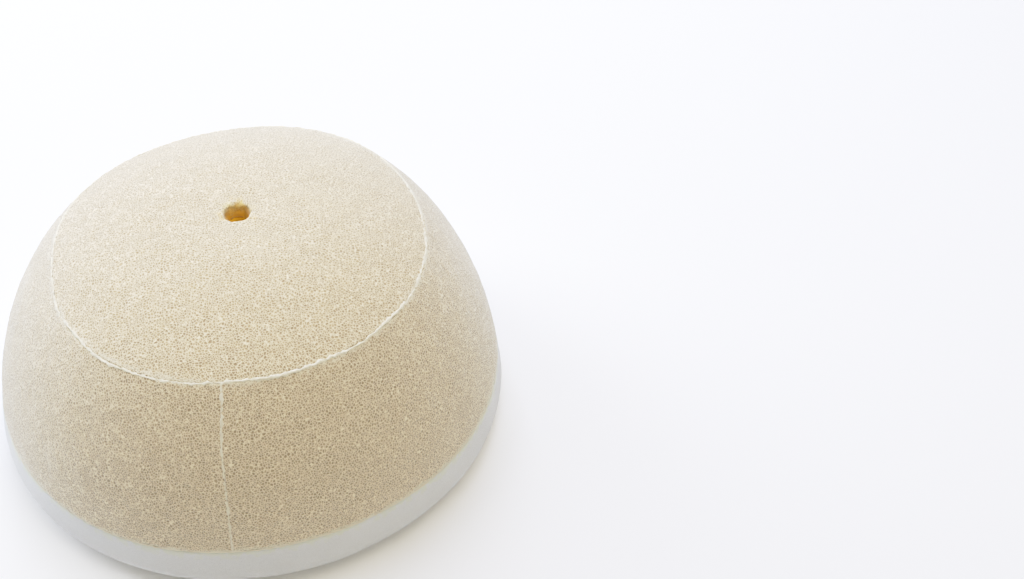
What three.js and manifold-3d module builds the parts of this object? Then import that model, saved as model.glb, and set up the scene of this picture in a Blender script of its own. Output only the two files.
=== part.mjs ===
// Two-stage foam air filter for a motorcycle: a domed cup of two foam layers on a soft sealing ring.
// Millimetres, +Z up. The origin is on the filter's axis, in the plane of the sealing face.
// The glued side seams lie on the -Y side.
import * as THREE from "three";
import { mergeVertices } from "three/addons/utils/BufferGeometryUtils.js";
import Module from "manifold-3d";

const wasm = await Module();
wasm.setup();

// Driving dimensions of the outer skin.
const HEIGHT = 85.5; // sealing face to the crown
const RING_RADIUS = 64; // where the crown panel meets the side band
const RING_HEIGHT = 72;
const JOINT_RADIUS = 90; // where the side band meets the sealing ring
const JOINT_HEIGHT = 20;
const SIDE_BULGE = 4.5; // how far the side band bows out from its chord

// The two foam stages, as depths below the outer skin.
const COARSE = { top: 0, bottom: 6.2 };
const FINE = { top: 6.5, bottom: 19 };

// The mounting bolt's hole and the flat land that its washer clamps.
const LAND_RADIUS = 11;
const COARSE_HOLE_RADIUS = 4.75;
const FINE_HOLE_RADIUS = 3.9;

// The soft sealing ring.
const SEAL = {
  radius: 91, // widest point
  widestHeight: 9.5,
  flatOuter: 81, // the flat sealing face lies between these two radii
  flatInner: 58,
  mouth: 48.5,
  mouthHeight: 8,
  lipLand: 2.5, // straight part of the mouth's wall
  lipTopRadius: 55,
  top: JOINT_HEIGHT - 1,
};

// Cured adhesive.
const SEAM_WIDTH = 0.9;
const SEAM_PROUD = 0.4; // how far a bead stands above the skin
const CLEARANCE = 0.15; // free gap on each side of a bead
const BOND_RING = { inner: 5.5, outer: 10, thickness: 0.5 };

const TURN_SEGMENTS = 48;
const ARC_STEPS = 7;
const LIP_STEPS = 4;

const COLOURS = {
  coarse: 0xd9c9a8,
  fine: 0xb87a10,
  seal: 0xeeece6,
  adhesive: 0xf2efdc,
};

const point = (r, z) => new THREE.Vector2(r, z);

// Circle through the crown's land edge, level there, and the ring joint.
const crownRun = RING_RADIUS - LAND_RADIUS;
const crownDrop = HEIGHT - RING_HEIGHT;
const crownRadius = (crownRun ** 2 + crownDrop ** 2) / (2 * crownDrop);
const crown = { centre: point(LAND_RADIUS, HEIGHT - crownRadius), radius: crownRadius };

// Circle through the ring joint and the base joint that bows out by SIDE_BULGE.
const chord = point(JOINT_RADIUS - RING_RADIUS, JOINT_HEIGHT - RING_HEIGHT);
const halfChord = chord.length() / 2;
const sideRadius = (halfChord ** 2 + SIDE_BULGE ** 2) / (2 * SIDE_BULGE);
const outward = point(-chord.y, chord.x).normalize();
const chordMiddle = point(RING_RADIUS, RING_HEIGHT).addScaledVector(chord, 0.5);
const side = {
  centre: chordMiddle.addScaledVector(outward, SIDE_BULGE - sideRadius),
  radius: sideRadius,
};

const angleOf = (circle, p) => Math.atan2(p.y - circle.centre.y, p.x - circle.centre.x);

// A point on a circle that lies `depth` inside the skin.
function onCircle(circle, depth, angle) {
  const radius = circle.radius - depth;
  return point(
    circle.centre.x + radius * Math.cos(angle),
    circle.centre.y + radius * Math.sin(angle),
  );
}

// Where the crown and the side meet at a depth below the skin: two circles crossing.
function ringJoint(depth) {
  const a = crown.radius - depth;
  const b = side.radius - depth;
  const between = side.centre.clone().sub(crown.centre);
  const distance = between.length();
  const along = (a ** 2 - b ** 2 + distance ** 2) / (2 * distance);
  const across = Math.sqrt(a ** 2 - along ** 2);
  const unit = between.divideScalar(distance);
  return crown.centre
    .clone()
    .addScaledVector(unit, along)
    .addScaledVector(point(unit.y, -unit.x), across);
}

// Where the side reaches the base joint's plane at a depth below the skin.
function baseAngle(depth) {
  return Math.asin((JOINT_HEIGHT - side.centre.y) / (side.radius - depth));
}

// The ring joint, moved back along the crown or down along the side by `inset`.
function crownEdgeAngle(depth, inset) {
  return angleOf(crown, ringJoint(depth)) + inset / (crown.radius - depth);
}
function sideEdgeAngle(depth, inset) {
  return angleOf(side, ringJoint(depth)) - inset / (side.radius - depth);
}

function arc(circle, depth, from, to) {
  return Array.from({ length: ARC_STEPS + 1 }, (_, i) =>
    onCircle(circle, depth, from + ((to - from) * i) / ARC_STEPS),
  );
}

// Quarter of an ellipse, from angle `from` to angle `to` about a centre.
function quarterEllipse(centre, rx, ry, from, to) {
  return new THREE.EllipseCurve(
    centre.x, centre.y, rx, ry, from, to, to < from,
  ).getPoints(LIP_STEPS);
}

// A closed profile turned about +Z.
function turned(profile) {
  const closed = [...profile, profile[0].clone()];
  return new THREE.LatheGeometry(closed, TURN_SEGMENTS).rotateX(Math.PI / 2);
}

// Profiles run clockwise in the r-z plane or the other way: this turns the faces outwards.
function facingOut(profile) {
  return THREE.ShapeUtils.isClockWise(profile) ? [...profile].reverse() : profile;
}

const seamEdge = SEAM_WIDTH / 2 + CLEARANCE;

function crownProfile({ top, bottom }, holeRadius) {
  const level = Math.PI / 2;
  return [
    point(holeRadius, HEIGHT - bottom),
    point(holeRadius, HEIGHT - top),
    ...arc(crown, top, level, crownEdgeAngle(top, seamEdge)),
    ...arc(crown, bottom, crownEdgeAngle(bottom, seamEdge), level),
  ];
}

function sideProfile({ top, bottom }) {
  return [
    ...arc(side, top, sideEdgeAngle(top, seamEdge), baseAngle(top)),
    ...arc(side, bottom, baseAngle(bottom), sideEdgeAngle(bottom, seamEdge)),
  ];
}

function ringSeamProfile(top, bottom) {
  const half = SEAM_WIDTH / 2;
  return [
    onCircle(crown, top, crownEdgeAngle(top, half)),
    ringJoint(top),
    onCircle(side, top, sideEdgeAngle(top, half)),
    onCircle(side, bottom, sideEdgeAngle(bottom, half)),
    onCircle(crown, bottom, crownEdgeAngle(bottom, half)),
  ];
}

// Flat adhesive ring between a band's lower edge and the sealing ring.
function baseSeamProfile({ top, bottom }, proud) {
  const outer = onCircle(side, top, baseAngle(top)).x + proud;
  const inner = onCircle(side, bottom, baseAngle(bottom)).x;
  const low = SEAL.top + CLEARANCE;
  const high = JOINT_HEIGHT - CLEARANCE;
  return [point(inner, low), point(outer, low), point(outer, high), point(inner, high)];
}

function sealProfile() {
  const { radius, widestHeight, flatOuter, flatInner, mouth, mouthHeight, lipLand } = SEAL;
  const lipTopStart = mouthHeight + lipLand;
  const { PI } = Math;
  return [
    ...quarterEllipse(
      point(flatOuter, widestHeight), radius - flatOuter, widestHeight, -PI / 2, 0,
    ),
    point(JOINT_RADIUS + SEAM_PROUD, SEAL.top),
    ...quarterEllipse(
      point(SEAL.lipTopRadius, lipTopStart),
      SEAL.lipTopRadius - mouth, SEAL.top - lipTopStart, PI / 2, PI,
    ),
    ...quarterEllipse(
      point(flatInner, mouthHeight), flatInner - mouth, mouthHeight, PI, 1.5 * PI,
    ),
  ];
}

// Between the two crowns, around the bolt hole; the fine crown has a shallow recess for it.
function bondRingProfile() {
  const high = HEIGHT - COARSE.bottom - CLEARANCE;
  const low = high - BOND_RING.thickness;
  const { inner, outer } = BOND_RING;
  return [point(inner, low), point(outer, low), point(outer, high), point(inner, high)];
}

function fineCrownProfile() {
  const [innerLow, innerHigh, landEdge, ...rest] = crownProfile(FINE, FINE_HOLE_RADIUS);
  const floor = HEIGHT - COARSE.bottom - 2 * CLEARANCE - BOND_RING.thickness;
  const from = BOND_RING.inner - CLEARANCE;
  const to = BOND_RING.outer + CLEARANCE;
  return [
    innerLow,
    innerHigh,
    point(from, innerHigh.y),
    point(from, floor),
    point(to, floor),
    point(to, innerHigh.y),
    landEdge,
    ...rest,
  ];
}

// A closed geometry as a manifold-3d solid, and back.
function solidOf(geometry) {
  const bare = geometry.clone().deleteAttribute("normal").deleteAttribute("uv");
  const merged = mergeVertices(bare, 1e-4);
  return new wasm.Manifold(
    new wasm.Mesh({
      numProp: 3,
      vertProperties: merged.attributes.position.array,
      triVerts: new Uint32Array(merged.index.array),
    }),
  );
}
function geometryOf(solid) {
  const mesh = solid.getMesh();
  const geometry = new THREE.BufferGeometry();
  geometry.setAttribute("position", new THREE.BufferAttribute(mesh.vertProperties, 3));
  geometry.setIndex(new THREE.BufferAttribute(mesh.triVerts, 1));
  geometry.computeVertexNormals();
  return geometry;
}

// An upright slab through the filter's wall on the -Y side, as wide as a glued butt joint.
function seamSlab(width) {
  const reach = SEAL.radius + 10;
  return new THREE.BoxGeometry(width, reach, 2 * HEIGHT).translate(0, -reach / 2, HEIGHT / 2);
}

// A side band, open along its butt joint.
function sideBand(stage) {
  const band = solidOf(turned(facingOut(sideProfile(stage))));
  return geometryOf(band.subtract(solidOf(seamSlab(2 * seamEdge))));
}

// The adhesive that fills a side band's butt joint.
function sideSeam({ top, bottom }, proud) {
  const wall = solidOf(turned(facingOut(sideProfile({ top: top - proud, bottom }))));
  return geometryOf(wall.intersect(solidOf(seamSlab(SEAM_WIDTH))));
}

const finishes = {
  coarse: new THREE.MeshStandardMaterial({ color: COLOURS.coarse, roughness: 1, metalness: 0 }),
  fine: new THREE.MeshStandardMaterial({ color: COLOURS.fine, roughness: 1, metalness: 0 }),
  seal: new THREE.MeshStandardMaterial({ color: COLOURS.seal, roughness: 0.9, metalness: 0 }),
  adhesive: new THREE.MeshStandardMaterial({
    color: COLOURS.adhesive, roughness: 0.6, metalness: 0,
  }),
};

const filter = new THREE.Group();

function add(name, geometry, finish) {
  const mesh = new THREE.Mesh(geometry, finish);
  mesh.name = name;
  filter.add(mesh);
}

const ring = (profile) => turned(facingOut(profile));

add("outer_crown_panel", ring(crownProfile(COARSE, COARSE_HOLE_RADIUS)), finishes.coarse);
add("outer_side_band", sideBand(COARSE), finishes.coarse);
add(
  "outer_ring_seam",
  ring(ringSeamProfile(COARSE.top - SEAM_PROUD, COARSE.bottom)),
  finishes.adhesive,
);
add("outer_side_seam", sideSeam(COARSE, SEAM_PROUD), finishes.adhesive);
add("outer_base_seam", ring(baseSeamProfile(COARSE, SEAM_PROUD)), finishes.adhesive);

add("inner_crown_panel", ring(fineCrownProfile()), finishes.fine);
add("inner_side_band", sideBand(FINE), finishes.fine);
add(
  "inner_ring_seam",
  ring(ringSeamProfile(FINE.top, FINE.bottom + SEAM_PROUD)),
  finishes.adhesive,
);
add("inner_side_seam", sideSeam(FINE, 0), finishes.adhesive);
add("inner_base_seam", ring(baseSeamProfile(FINE, 0)), finishes.adhesive);

add("bolt_hole_bond_ring", ring(bondRingProfile()), finishes.adhesive);
add("sealing_ring", ring(sealProfile()), finishes.seal);

export default filter;
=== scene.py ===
"""Looks of a two-stage foam air filter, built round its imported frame.

The filter is a domed cup of two foam layers, glued to a soft sealing ring. Outlines are worked out
in millimetres in the radius-height plane, and turned about the filter's axis in metres. The glued
side seams lie on the -Y side.
"""

import logging
import math
from collections.abc import Callable
from dataclasses import dataclass, field
from enum import Enum
from functools import cached_property

import bmesh
import bpy
from mathutils import Matrix, Vector, noise

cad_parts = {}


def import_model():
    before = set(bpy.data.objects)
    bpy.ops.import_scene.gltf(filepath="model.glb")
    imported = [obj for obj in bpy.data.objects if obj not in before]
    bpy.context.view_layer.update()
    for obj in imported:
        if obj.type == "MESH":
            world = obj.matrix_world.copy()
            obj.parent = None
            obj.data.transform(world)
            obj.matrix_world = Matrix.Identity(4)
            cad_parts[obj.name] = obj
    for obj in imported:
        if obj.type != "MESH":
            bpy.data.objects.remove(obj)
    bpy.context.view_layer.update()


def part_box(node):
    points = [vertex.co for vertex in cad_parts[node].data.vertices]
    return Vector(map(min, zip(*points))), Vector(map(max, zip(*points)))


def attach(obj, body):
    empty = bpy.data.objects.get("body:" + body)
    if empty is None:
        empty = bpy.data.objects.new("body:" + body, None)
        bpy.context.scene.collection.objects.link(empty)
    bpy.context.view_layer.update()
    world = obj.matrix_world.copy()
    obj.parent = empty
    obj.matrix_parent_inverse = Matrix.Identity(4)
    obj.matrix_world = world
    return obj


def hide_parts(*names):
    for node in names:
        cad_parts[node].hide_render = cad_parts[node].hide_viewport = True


LOG = logging.getLogger("air_filter")
MM = 0.001
TURN = 2 * math.pi
SEAM_AZIMUTH = -math.pi / 2
UP = Vector((0, 0, 1))
MERGE_DISTANCE = 1e-4 * MM

# How uneven the foam's cells are, and how they are turned, so that no flat face cuts along a row.
CELL_RANDOMNESS = 0.9
CELL_TURN = (0.7, 0.5, 0.4)

# Wavelengths of the lumps in cut foam, in millimetres, and how much taller the large ones are.
SMALL_LUMPS = 3.0
LARGE_LUMPS = 9.0
LARGE_LUMP_HEIGHT = 1.5

# The values between which most of a noise texture lies.
NOISE_LOW = 0.3
NOISE_HIGH = 0.7

# Wavelengths of a hand-laid bead's unevenness, in millimetres.
WANDER_WAVES = 14.0
WIDTH_WAVES = 6.0
TOOTH_WAVES = 1.2
CRUMB_WAVES = 1.1

# How far above its root a bead's point may be and still belong to it, in millimetres.
ROOT_SLACK = 0.05

# The share of a straight bead's length past which its fullness no longer changes.
BEAD_END = 0.99


# The filter's shape


@dataclass(frozen=True)
class Arc:
    """A circle in the radius-height plane, in millimetres.

    Attributes:
        centre: Its centre.
        radius: Its radius.
    """

    centre: Vector
    radius: float

    def at(self, depth: float, angle: float) -> Vector:
        """Gives the point at an angle, a depth inside the circle."""
        return self.centre + Vector((math.cos(angle), math.sin(angle))) * (self.radius - depth)

    def angle_of(self, point: Vector) -> float:
        """Gives the angle at which a point is seen from the centre."""
        return math.atan2(point.y - self.centre.y, point.x - self.centre.x)

    def run(self, depth: float, start: float, end: float, spacing: float) -> list[Vector]:
        """Walks along the arc.

        Args:
            depth: How far inside the circle to walk.
            start: Angle of the first point.
            end: Angle of the last point.
            spacing: The longest step.

        Returns:
            The points, both ends included.
        """
        steps = math.ceil(abs(end - start) * (self.radius - depth) / spacing)
        return [self.at(depth, start + (end - start) * i / steps) for i in range(steps + 1)]


@dataclass(frozen=True)
class Dome:
    """The outer skin: a crown arc and a side arc that meet at the ring joint, in millimetres.

    Attributes:
        height: The filter's height.
        joint_radius: Radius of the base joint.
        joint_height: Height of the base joint.
        ring_radius: Radius of the ring joint.
        ring_height: Height of the ring joint.
        land_radius: Radius of the crown's flat middle.
        side_bulge: How far the side bulges out past a straight line.
    """

    height: float
    joint_radius: float
    joint_height: float
    ring_radius: float = 64.0
    ring_height: float = 72.0
    land_radius: float = 11.0
    side_bulge: float = 4.5

    @classmethod
    def from_frame(cls) -> "Dome":
        """Reads the driving sizes from the frame.

        Returns:
            The filter's dome.
        """
        band_low, band_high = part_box("outer_side_band")
        crown_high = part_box("outer_crown_panel")[1]
        return cls(
            height=crown_high.z / MM,
            joint_radius=band_high.x / MM,
            joint_height=band_low.z / MM,
        )

    @cached_property
    def crown(self) -> Arc:
        """The arc that leaves the flat land level and ends at the ring joint.

        Returns:
            The arc of the skin.
        """
        run = self.ring_radius - self.land_radius
        drop = self.height - self.ring_height
        radius = (run**2 + drop**2) / (2 * drop)
        return Arc(Vector((self.land_radius, self.height - radius)), radius)

    @cached_property
    def side(self) -> Arc:
        """The arc from the ring joint to the base joint.

        Returns:
            The arc of the skin.
        """
        top = Vector((self.ring_radius, self.ring_height))
        chord = Vector((self.joint_radius, self.joint_height)) - top
        half = chord.length / 2
        radius = (half**2 + self.side_bulge**2) / (2 * self.side_bulge)
        outward = Vector((-chord.y, chord.x)).normalized()
        return Arc(top + chord / 2 + outward * (self.side_bulge - radius), radius)

    def ring_joint(self, depth: float) -> Vector:
        """Finds where crown and side meet.

        Args:
            depth: How far inside the skin, in millimetres.

        Returns:
            The joint, in the radius-height plane.
        """
        crown_reach = self.crown.radius - depth
        side_reach = self.side.radius - depth
        between = self.side.centre - self.crown.centre
        gap = between.length
        along = (crown_reach**2 - side_reach**2 + gap**2) / (2 * gap)
        across = math.sqrt(crown_reach**2 - along**2)
        unit = between / gap
        return self.crown.centre + unit * along + Vector((unit.y, -unit.x)) * across

    def crown_edge(self, depth: float, inset: float) -> float:
        """Gives the crown arc's angle at an inset from the ring joint."""
        reach = self.crown.radius - depth
        return self.crown.angle_of(self.ring_joint(depth)) + inset / reach

    def side_edge(self, depth: float, inset: float) -> float:
        """Gives the side arc's angle at an inset from the ring joint."""
        reach = self.side.radius - depth
        return self.side.angle_of(self.ring_joint(depth)) - inset / reach

    def side_level(self, depth: float, height: float) -> float:
        """Gives the side arc's angle at a height."""
        return math.asin((height - self.side.centre.y) / (self.side.radius - depth))

    def depth_at(self, place: Vector) -> float:
        """Works out how deep a place lies under the skin.

        Args:
            place: The place in the filter's frame, in metres.

        Returns:
            The depth, in millimetres.
        """
        flat = Vector((math.hypot(place.x, place.y), place.z)) / MM
        if flat.x < self.land_radius:
            return self.height - flat.y
        return min(arc.radius - (flat - arc.centre).length for arc in (self.crown, self.side))


def hump(share: float, middle: float, spread: float) -> float:
    """Gives a smooth hump: 1 at its middle, and near 0 two spreads away."""
    return math.exp(-(((share - middle) / spread) ** 2))


def beside(azimuth: float, middle: float) -> float:
    """Gives 1 at the middle azimuth, and near 0 from 40 degrees to either side of it."""
    return max(math.cos(azimuth - middle), 0.0) ** 16


@dataclass(frozen=True)
class Lobe:
    """One wave of out-of-roundness.

    Attributes:
        count: How many crests it has round the filter.
        size: Their height, in millimetres.
        azimuth: Where one of them stands, in degrees.
    """

    count: int
    size: float
    azimuth: float

    def at(self, azimuth: float) -> float:
        """Gives the wave's height, in millimetres."""
        return self.size * math.cos(self.count * (azimuth - math.radians(self.azimuth)))


@dataclass(frozen=True)
class HandForming:
    """How far the glued foam is from a true turned shape.

    Attributes:
        low: The out-of-roundness at the floor.
        high: The out-of-roundness at the crown.
        seam_bow: The angle by which the side seam bows aside.
        bow_rise: Where it bows most, as a share of the height.
        bow_spread: How far the bow spreads up and down, as a share of the height.
        flat_spot: Depth of the flat spot beside the ring joint, in millimetres.
        flat_azimuth: The azimuth of its middle.
        flat_rise: The height of its middle, as a share of the height.
        flat_spread: How far it spreads up and down, as a share of the height.
        full_radius: The radius at which the sizes above hold, in millimetres.
        full_height: The filter's height, in millimetres.
    """

    low: tuple[Lobe, ...] = (Lobe(2, 0.9, 76), Lobe(3, 0.55, -32), Lobe(4, 0.35, -15))
    high: tuple[Lobe, ...] = (Lobe(2, 1.4, 53), Lobe(3, 0.45, 59), Lobe(4, 1.15, -28))
    seam_bow: float = math.radians(0.6)
    bow_rise: float = 0.68
    bow_spread: float = 0.12
    flat_spot: float = 2.0
    flat_azimuth: float = math.radians(190)
    flat_rise: float = 0.84
    flat_spread: float = 0.09
    full_radius: float = 90.0
    full_height: float = 85.5

    def place(self, point: Vector) -> Vector:
        """Moves a place on the true shape to where the hand-made one has it.

        Args:
            point: The place in the filter's frame, in metres.

        Returns:
            Its new place.
        """
        radius = math.hypot(point.x, point.y)
        azimuth = math.atan2(point.y, point.x)
        rise = point.z / MM / self.full_height
        reach = radius / MM / self.full_radius
        swell = sum(lobe.at(azimuth) for lobe in self.low) * (1 - rise)
        swell += sum(lobe.at(azimuth) for lobe in self.high) * rise
        flat = beside(azimuth, self.flat_azimuth) * hump(rise, self.flat_rise, self.flat_spread)
        swell -= self.flat_spot * flat
        radius += swell * reach * MM
        bow = beside(azimuth, SEAM_AZIMUTH) * hump(rise, self.bow_rise, self.bow_spread)
        azimuth -= self.seam_bow * bow
        return Vector((radius * math.cos(azimuth), radius * math.sin(azimuth), point.z))


# Mesh work


def at_seam(flat: Vector) -> Vector:
    """Puts a radius-height point, in millimetres, on the seam's side of the filter's frame."""
    return Vector((0, -flat.x, flat.y)) * MM


def ease(share: float) -> float:
    """Holds a share between 0 and 1, and eases it at both ends."""
    held = min(max(share, 0.0), 1.0)
    return held * held * (3 - 2 * held)


def ripple(place: Vector, wavelength: float, seed: float) -> float:
    """Smooth noise from about -1 to 1.

    Args:
        place: Where to read it, in metres.
        wavelength: Size of its waves, in millimetres.
        seed: Picks one of many patterns.

    Returns:
        The noise at that place.
    """
    return noise.noise(place / (wavelength * MM) + Vector((seed, 2.7 * seed, -seed)))


@dataclass(frozen=True)
class Waves:
    """A pattern of unevenness, with its wavelength in millimetres, its height and its seed."""

    length: float
    height: float
    seed: float

    def at(self, place: Vector) -> float:
        """Gives the unevenness at a place."""
        return ripple(place, self.length, self.seed) * self.height


class Workpiece:
    """A mesh in the making, from its outline to a finished object."""

    def __init__(self) -> None:
        """Starts with an empty mesh."""
        self.mesh = bmesh.new()

    def draw(self, points: list[Vector]) -> list[bmesh.types.BMVert | bmesh.types.BMEdge]:
        """Draws a closed line.

        Args:
            points: Its corners in the filter's frame, in metres.

        Returns:
            The mesh's new corners and edges.
        """
        corners = [self.mesh.verts.new(point) for point in points]
        following = corners[1:] + corners[:1]
        edges = [self.mesh.edges.new(pair) for pair in zip(corners, following, strict=True)]
        return corners + edges

    def turn(self, outline: list[Vector], steps: int, gap: float = 0.0) -> None:
        """Turns a closed outline about the filter's axis.

        Args:
            outline: The outline in the radius-height plane, in millimetres.
            steps: Steps in the whole turn.
            gap: Angle left open at the seam. The two ends are closed.
        """
        start = Matrix.Rotation(gap / 2, 3, UP)
        line = self.draw([start @ at_seam(point) for point in outline])
        bmesh.ops.spin(
            self.mesh,
            geom=line,
            cent=(0, 0, 0),
            axis=UP,
            angle=TURN - gap,
            steps=steps,
            use_merge=not gap,
        )
        self.close()

    def sweep(self, outline: list[Vector], centre: Vector, angle: float, steps: int) -> None:
        """Sweeps a closed outline about an axis along X, and closes its ends.

        Args:
            outline: The outline in the filter's frame, in metres.
            centre: A point on the axis.
            angle: The angle swept.
            steps: Steps in the sweep.
        """
        bmesh.ops.spin(
            self.mesh,
            geom=self.draw(outline),
            cent=centre,
            axis=(1, 0, 0),
            angle=angle,
            steps=steps,
        )
        self.close()

    def close(self) -> None:
        """Merges doubles, closes open ends and turns every face outwards."""
        mesh = self.mesh
        bmesh.ops.remove_doubles(mesh, verts=mesh.verts, dist=MERGE_DISTANCE)
        rims = [edge for edge in mesh.edges if edge.is_boundary]
        if rims:
            bmesh.ops.holes_fill(mesh, edges=rims, sides=0)
        bmesh.ops.recalc_face_normals(mesh, faces=mesh.faces)

    def refine(self, grain: float, wanted: Callable[[Vector], bool]) -> None:
        """Cuts edges in half until none is longer than the grain.

        Args:
            grain: The longest edge left, in millimetres.
            wanted: Says whether a place lies in the stretch to refine.
        """
        while True:
            long = [
                edge
                for edge in self.mesh.edges
                if edge.calc_length() > grain * MM and all(wanted(v.co) for v in edge.verts)
            ]
            if not long:
                return
            bmesh.ops.subdivide_edges(self.mesh, edges=long, cuts=1, use_grid_fill=True)

    def shape(self, move: Callable[[Vector], Vector]) -> None:
        """Moves every vertex to where a function says."""
        for vertex in self.mesh.verts:
            vertex.co = move(vertex.co)

    def roughen(self, height: float, seed: float, wanted: Callable[[Vector], bool]) -> None:
        """Gives the skin the slight lumpiness of cut foam.

        Args:
            height: How far its lumps stand out, in millimetres.
            seed: Picks one of many patterns.
            wanted: Says whether a place lies in the stretch to roughen.
        """
        self.mesh.normal_update()
        for vertex in self.mesh.verts:
            if wanted(vertex.co):
                small = ripple(vertex.co, SMALL_LUMPS, seed)
                large = ripple(vertex.co, LARGE_LUMPS, seed + 4) * LARGE_LUMP_HEIGHT
                vertex.co += vertex.normal * (small + large) * height * MM

    def finish(self, name: str) -> bpy.types.Object:
        """Makes the smooth-shaded object, and frees the working mesh.

        Args:
            name: The object's name.

        Returns:
            The object, linked to the scene.
        """
        bmesh.ops.recalc_face_normals(self.mesh, faces=self.mesh.faces)
        data = bpy.data.meshes.new(name)
        self.mesh.to_mesh(data)
        self.mesh.free()
        data.shade_smooth()
        piece = bpy.data.objects.new(name, data)
        bpy.context.scene.collection.objects.link(piece)
        return piece


# Node work


class Wiring:
    """Adds and links the nodes of one tree."""

    def __init__(self, tree: bpy.types.NodeTree) -> None:
        """Takes the tree to work in."""
        self.tree = tree

    def add(self, kind: str, **settings: object) -> bpy.types.Node:
        """Adds a node.

        Args:
            kind: The name of the kind of node.
            settings: Properties to set on it.

        Returns:
            The node.
        """
        node = self.tree.nodes.new(kind)
        for name, value in settings.items():
            setattr(node, name, value)
        return node

    def feed(self, socket: bpy.types.NodeSocket, value: object) -> None:
        """Links a socket to another one, or gives it a plain value.

        Args:
            socket: The input socket.
            value: The output socket that feeds it, or its value.
        """
        if isinstance(value, bpy.types.NodeSocket):
            self.tree.links.new(value, socket)
        else:
            socket.default_value = value

    def maths(self, operation: str, first: object, second: object = 0.0) -> bpy.types.NodeSocket:
        """Adds a Math node.

        Args:
            operation: The operation's name.
            first: Its first value or socket.
            second: Its second value or socket.

        Returns:
            The result's socket.
        """
        node = self.add("ShaderNodeMath", operation=operation)
        self.feed(node.inputs[0], first)
        self.feed(node.inputs[1], second)
        return node.outputs[0]

    def ramp(
        self, value: object, low: object, high: object, start: object = 0.0, end: object = 1.0
    ) -> bpy.types.NodeSocket:
        """Eases a value from one range to another.

        Args:
            value: The value or socket to read.
            low: Where the rise starts.
            high: Where it ends.
            start: What it gives at low.
            end: What it gives at high.

        Returns:
            The result's socket.
        """
        node = self.add("ShaderNodeMapRange", interpolation_type="SMOOTHSTEP")
        for name, given in (
            ("Value", value),
            ("From Min", low),
            ("From Max", high),
            ("To Min", start),
            ("To Max", end),
        ):
            self.feed(node.inputs[name], given)
        return node.outputs["Result"]

    def blend(
        self, share: object, first: object, second: object, mode: str = "MIX"
    ) -> bpy.types.NodeSocket:
        """Blends two colours.

        Args:
            share: How much of the second colour shows.
            first: The first colour or socket.
            second: The second colour or socket.
            mode: The name of the kind of blend.

        Returns:
            The blended colour's socket.
        """
        node = self.add("ShaderNodeMix", data_type="RGBA", blend_type=mode)
        factor = next(s for s in node.inputs if s.identifier == "Factor_Float")
        one = next(s for s in node.inputs if s.identifier == "A_Color")
        two = next(s for s in node.inputs if s.identifier == "B_Color")
        self.feed(factor, share)
        self.feed(one, first)
        self.feed(two, second)
        return next(s for s in node.outputs if s.identifier == "Result_Color")

    def group(self, tree: bpy.types.NodeTree, **values: object) -> bpy.types.Node:
        """Places a node group and feeds its inputs.

        Args:
            tree: The group.
            values: What to feed each input, its name's spaces written as underscores.

        Returns:
            The group's node.
        """
        node = self.add("ShaderNodeGroup", node_tree=tree)
        for name, value in values.items():
            self.feed(node.inputs[name.replace("_", " ")], value)
        return node


@dataclass(frozen=True)
class Paint:
    """A material in the making.

    Attributes:
        material: The material.
        wiring: Its wiring.
        shader: Its Principled BSDF.
        place: The socket that gives the place on the piece.
    """

    material: bpy.types.Material
    wiring: Wiring
    shader: bpy.types.Node
    place: bpy.types.NodeSocket

    @classmethod
    def start(cls, name: str) -> "Paint":
        """Starts a material.

        Args:
            name: Its name.

        Returns:
            The material in the making.
        """
        material = bpy.data.materials.new(name)
        material.use_nodes = True
        wiring = Wiring(material.node_tree)
        shader = material.node_tree.nodes["Principled BSDF"]
        place = wiring.add("ShaderNodeTexCoord").outputs["Object"]
        return cls(material, wiring, shader, place)

    def set(self, **values: object) -> None:
        """Sets the shader's own sockets, whose names' spaces are written as underscores."""
        for name, value in values.items():
            self.shader.inputs[name.replace("_", " ")].default_value = value

    def bump(self, height: bpy.types.NodeSocket, distance: float) -> None:
        """Bumps the surface.

        Args:
            height: The socket that gives the bumps' height.
            distance: How deep they are, in metres.
        """
        bump = self.wiring.add("ShaderNodeBump")
        bump.inputs["Distance"].default_value = distance
        self.wiring.feed(bump.inputs["Height"], height)
        self.wiring.feed(self.shader.inputs["Normal"], bump.outputs["Normal"])


class Socket(Enum):
    """Kinds of socket that a node group can have."""

    VALUE = "NodeSocketFloat"
    VECTOR = "NodeSocketVector"


def new_group(
    name: str, inputs: dict[str, Socket], outputs: dict[str, Socket]
) -> tuple[Wiring, bpy.types.Node, bpy.types.Node]:
    """Starts a node group.

    Args:
        name: The group's name.
        inputs: Its inputs, by name.
        outputs: Its outputs, by name.

    Returns:
        Its wiring, its input node and its output node.
    """
    tree = bpy.data.node_groups.new(name, "ShaderNodeTree")
    for label, socket in inputs.items():
        tree.interface.new_socket(label, in_out="INPUT", socket_type=socket.value)
    for label, socket in outputs.items():
        tree.interface.new_socket(label, in_out="OUTPUT", socket_type=socket.value)
    wiring = Wiring(tree)
    return wiring, wiring.add("NodeGroupInput"), wiring.add("NodeGroupOutput")


@dataclass(frozen=True)
class Effects:
    """The node groups that several finishes share.

    Attributes:
        cells: Open foam cells, with shade painted into the pores and highlights painted on the
            struts.
        drift: Slow patches.
        soak: Something soaked in round a joint, and the light painted into the bolt hole.
    """

    cells: bpy.types.NodeTree
    drift: bpy.types.NodeTree
    soak: bpy.types.NodeTree

    @classmethod
    def build(cls) -> "Effects":
        """Builds each group once."""
        return cls(cells=foam_cells(), drift=slow_drift(), soak=glue_soak())


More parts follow.
